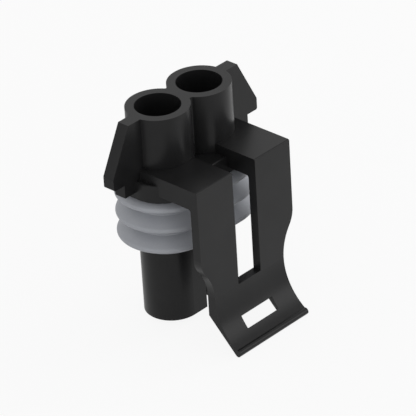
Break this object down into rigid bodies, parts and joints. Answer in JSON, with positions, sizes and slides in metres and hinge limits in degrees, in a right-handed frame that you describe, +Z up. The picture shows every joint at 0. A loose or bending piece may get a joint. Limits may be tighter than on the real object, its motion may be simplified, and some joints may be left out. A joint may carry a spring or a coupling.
{
  "type": "sealed connector housing",
  "caption": "Small sealed electrical connector housing with open wire tubes, side wings, a windowed latch arm and a ribbed oval seal round its nose.",
  "frame": {"origin": "middle of the flat end face of the nose, on the mating side", "axes": "+X through the two wire tubes, -Y towards the latch, +Z up the tubes towards the wire side"},
  "size_m": [0.0244, 0.0193, 0.0281],
  "materials": {
    "housing": "satin",
    "seal": "matte"
  },
  "bodies": {
    "root": {"housing": "housing", "ring_seal": "seal"}
  },
  "joints": []
}
